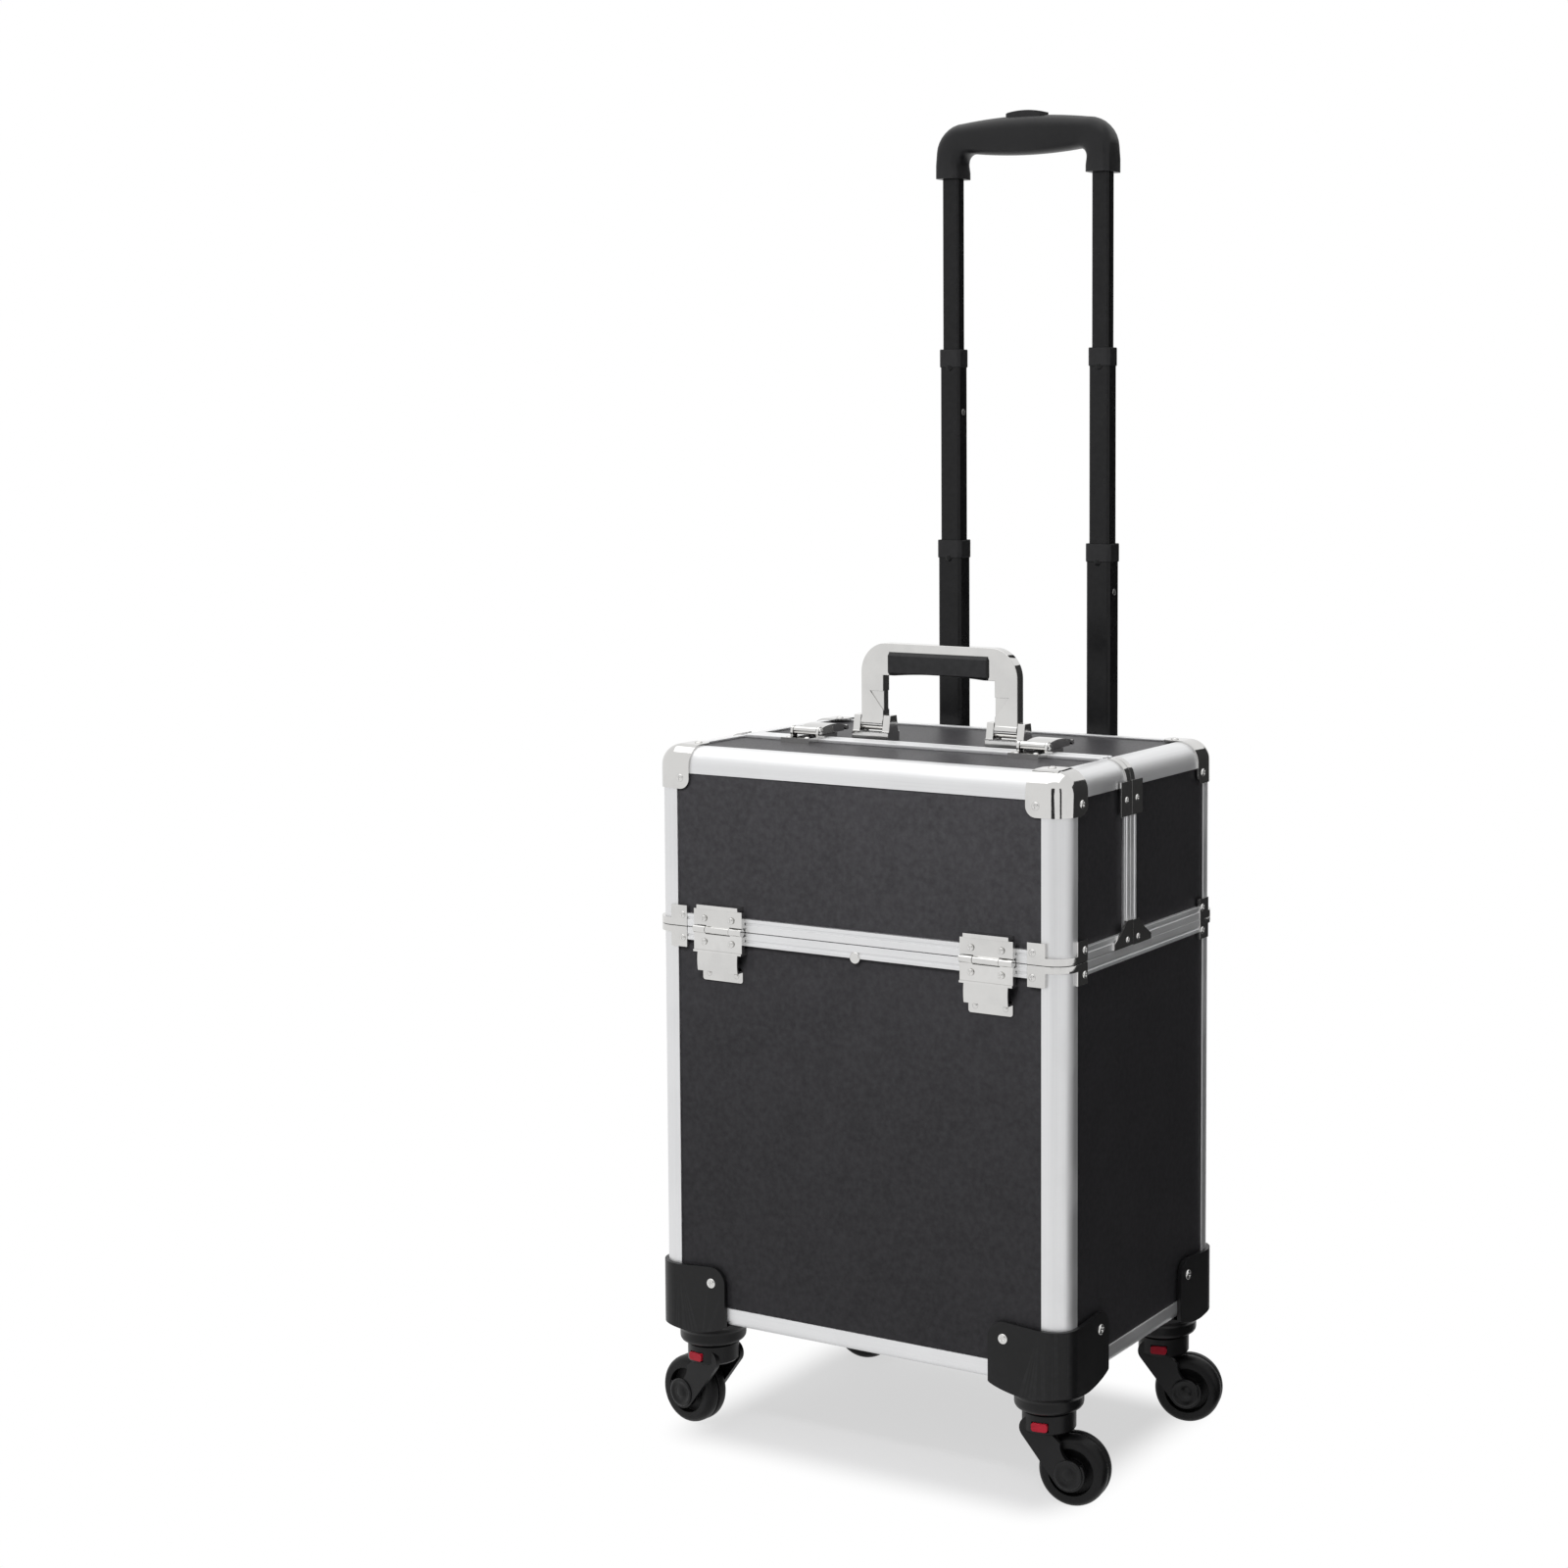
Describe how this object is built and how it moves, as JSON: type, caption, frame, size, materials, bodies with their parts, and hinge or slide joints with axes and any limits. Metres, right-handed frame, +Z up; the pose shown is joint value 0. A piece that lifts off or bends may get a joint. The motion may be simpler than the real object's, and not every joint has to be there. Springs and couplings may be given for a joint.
{
  "type": "rolling_makeup_case",
  "caption": "Rolling makeup case in black panels with aluminium edges, chrome corners and latches, cantilever trays, a telescopic handle and spinner casters.",
  "frame": {"origin": "On the floor under the middle of the case body, between its front and back profiles", "axes": "X to the right seen from the front, Y to the back, Z up"},
  "size_m": [0.3752, 0.271, 0.9857],
  "materials": {
    "panel_black": "grained black sheet laminated on board",
    "liner_black": "plain black lining and tray plastic",
    "satin_aluminium": "satin anodised extrusion",
    "chrome": "bright plated pressings",
    "tube_black": "black satin anodised tube",
    "plastic_black": "moulded black plastic",
    "wheel_black": "moulded black wheel",
    "release_red": "red release bar"
  },
  "bodies": {
    "case": {"base_panel": "liner_black", "lower_front_panel": "panel_black", "lower_back_panel": "panel_black", "lower_side_panels": "panel_black", "corner_posts": "satin_aluminium", "base_rails": "satin_aluminium", "lower_rim": "satin_aluminium", "lower_seam_brackets": "chrome", "hood_back_panel": "panel_black", "hood_top_panel": "panel_black", "hood_side_panels": "panel_black", "hood_posts": "satin_aluminium", "hood_rails": "satin_aluminium", "hood_corners": "chrome", "latch_catches": "chrome", "handle_brackets": "chrome", "hinge_bin_leaves": "chrome", "tray_pivots": "chrome", "fixed_tubes": "tube_black", "tube_clamps": "plastic_black", "housing_front_left": "plastic_black", "housing_front_right": "plastic_black", "housing_rear_left": "plastic_black", "housing_rear_right": "plastic_black"},
    "lid": {"lid_face_panel": "panel_black", "lid_top_panel": "panel_black", "lid_side_panels": "panel_black", "lid_posts": "satin_aluminium", "lid_rails": "satin_aluminium", "lid_corners": "chrome", "hinge_lid_leaves": "chrome", "latch_bases": "chrome"},
    "lever_left": {"latch_lever_left": "chrome"},
    "lever_right": {"latch_lever_right": "chrome"},
    "bail": {"carry_bail": "chrome", "carry_pad": "plastic_black"},
    "lower_stage": {"lower_tubes": "tube_black", "lower_collars": "plastic_black"},
    "middle_stage": {"middle_tubes": "tube_black", "middle_collars": "plastic_black"},
    "upper_stage": {"upper_tubes": "tube_black", "trolley_grip": "plastic_black"},
    "button": {"grip_button": "plastic_black"},
    "lead": {"lead_arms": "satin_aluminium"},
    "follow": {"follow_arms": "satin_aluminium"},
    "tray_lower": {"lower_tray": "liner_black"},
    "tray_upper": {"upper_tray": "liner_black"},
    "caster_front_left": {"fork_front_left": "plastic_black"},
    "wheel_front_left": {"wheel_front_left": "wheel_black"},
    "bar_front_left": {"release_front_left": "release_red"},
    "caster_front_right": {"fork_front_right": "plastic_black"},
    "wheel_front_right": {"wheel_front_right": "wheel_black"},
    "bar_front_right": {"release_front_right": "release_red"},
    "caster_rear_left": {"fork_rear_left": "plastic_black"},
    "wheel_rear_left": {"wheel_rear_left": "wheel_black"},
    "bar_rear_left": {"release_rear_left": "release_red"},
    "caster_rear_right": {"fork_rear_right": "plastic_black"},
    "wheel_rear_right": {"wheel_rear_right": "wheel_black"},
    "bar_rear_right": {"release_rear_right": "release_red"}
  },
  "joints": [
    {"name": "lid_hinge", "type": "hinge", "parent": "case", "child": "lid", "pos_m": [0, -0.1212, 0.38175], "axis": [1, 0, 0], "range_deg": [0, 100]},
    {"name": "latch_left", "type": "hinge", "parent": "lid", "child": "lever_left", "pos_m": [-0.097, -0.02825, 0.5185], "axis": [1, 0, 0], "range_deg": [0, 110]},
    {"name": "latch_right", "type": "hinge", "parent": "lid", "child": "lever_right", "pos_m": [0.097, -0.02825, 0.5185], "axis": [1, 0, 0], "range_deg": [0, 110]},
    {"name": "carry_fold", "type": "hinge", "parent": "case", "child": "bail", "pos_m": [0, 0.005, 0.5237], "axis": [-1, 0, 0], "range_deg": [0, 85]},
    {"name": "lower_slide", "type": "slide", "parent": "case", "child": "lower_stage", "axis": [0, 0, 1], "range_m": [-0.126, 0]},
    {"name": "middle_slide", "type": "slide", "parent": "lower_stage", "child": "middle_stage", "axis": [0, 0, 1], "range_m": [-0.126, 0]},
    {"name": "upper_slide", "type": "slide", "parent": "middle_stage", "child": "upper_stage", "axis": [0, 0, 1], "range_m": [-0.131, 0]},
    {"name": "button_press", "type": "slide", "parent": "upper_stage", "child": "button", "axis": [0, 0, -1], "range_m": [0, 0.003], "stiffness_N_per_m": 300},
    {"name": "lead_turn", "type": "hinge", "parent": "case", "child": "lead", "pos_m": [0, -0.075, 0.3698], "axis": [1, 0, 0], "range_deg": [0, 50]},
    {"name": "follow_turn", "type": "hinge", "parent": "case", "child": "follow", "pos_m": [0, -0.03, 0.3698], "axis": [1, 0, 0], "range_deg": [0, 50]},
    {"name": "lower_tray_turn", "type": "hinge", "parent": "lead", "child": "tray_lower", "pos_m": [0, -0.075, 0.4209], "axis": [1, 0, 0], "range_deg": [-50, 0]},
    {"name": "upper_tray_turn", "type": "hinge", "parent": "lead", "child": "tray_upper", "pos_m": [0, -0.075, 0.472], "axis": [1, 0, 0], "range_deg": [-50, 0]},
    {"name": "swivel_front_left", "type": "hinge", "parent": "case", "child": "caster_front_left", "pos_m": [-0.143, -0.089, 0.0665], "axis": [0, 0, 1], "continuous": true},
    {"name": "roll_front_left", "type": "hinge", "parent": "caster_front_left", "child": "wheel_front_left", "pos_m": [-0.16231, -0.08629, 0.025], "axis": [-0.1392, -0.9903, 0], "continuous": true},
    {"name": "release_front_left", "type": "slide", "parent": "caster_front_left", "child": "bar_front_left", "axis": [-0.1392, -0.9903, 0], "range_m": [-0.0012, 0.0012], "stiffness_N_per_m": 800},
    {"name": "swivel_front_right", "type": "hinge", "parent": "case", "child": "caster_front_right", "pos_m": [0.143, -0.089, 0.0665], "axis": [0, 0, 1], "continuous": true},
    {"name": "roll_front_right", "type": "hinge", "parent": "caster_front_right", "child": "wheel_front_right", "pos_m": [0.16231, -0.08629, 0.025], "axis": [-0.1392, 0.9903, 0], "continuous": true},
    {"name": "release_front_right", "type": "slide", "parent": "caster_front_right", "child": "bar_front_right", "axis": [-0.1392, 0.9903, 0], "range_m": [-0.0012, 0.0012], "stiffness_N_per_m": 800},
    {"name": "swivel_rear_left", "type": "hinge", "parent": "case", "child": "caster_rear_left", "pos_m": [-0.143, 0.089, 0.0665], "axis": [0, 0, 1], "continuous": true},
    {"name": "roll_rear_left", "type": "hinge", "parent": "caster_rear_left", "child": "wheel_rear_left", "pos_m": [-0.12393, 0.09305, 0.025], "axis": [-0.2079, 0.9781, 0], "continuous": true},
    {"name": "release_rear_left", "type": "slide", "parent": "caster_rear_left", "child": "bar_rear_left", "axis": [-0.2079, 0.9781, 0], "range_m": [-0.0012, 0.0012], "stiffness_N_per_m": 800},
    {"name": "swivel_rear_right", "type": "hinge", "parent": "case", "child": "caster_rear_right", "pos_m": [0.143, 0.089, 0.0665], "axis": [0, 0, 1], "continuous": true},
    {"name": "roll_rear_right", "type": "hinge", "parent": "caster_rear_right", "child": "wheel_rear_right", "pos_m": [0.16184, 0.09405, 0.025], "axis": [-0.2588, 0.9659, 0], "continuous": true},
    {"name": "release_rear_right", "type": "slide", "parent": "caster_rear_right", "child": "bar_rear_right", "axis": [-0.2588, 0.9659, 0], "range_m": [-0.0012, 0.0012], "stiffness_N_per_m": 800}
  ],
  "couplings": [
    {"joint": "lead_turn", "follows": "lid_hinge", "ratio": 0.5},
    {"joint": "follow_turn", "follows": "lid_hinge", "ratio": 0.5},
    {"joint": "lower_tray_turn", "follows": "lid_hinge", "ratio": -0.5},
    {"joint": "upper_tray_turn", "follows": "lid_hinge", "ratio": -0.5}
  ]
}
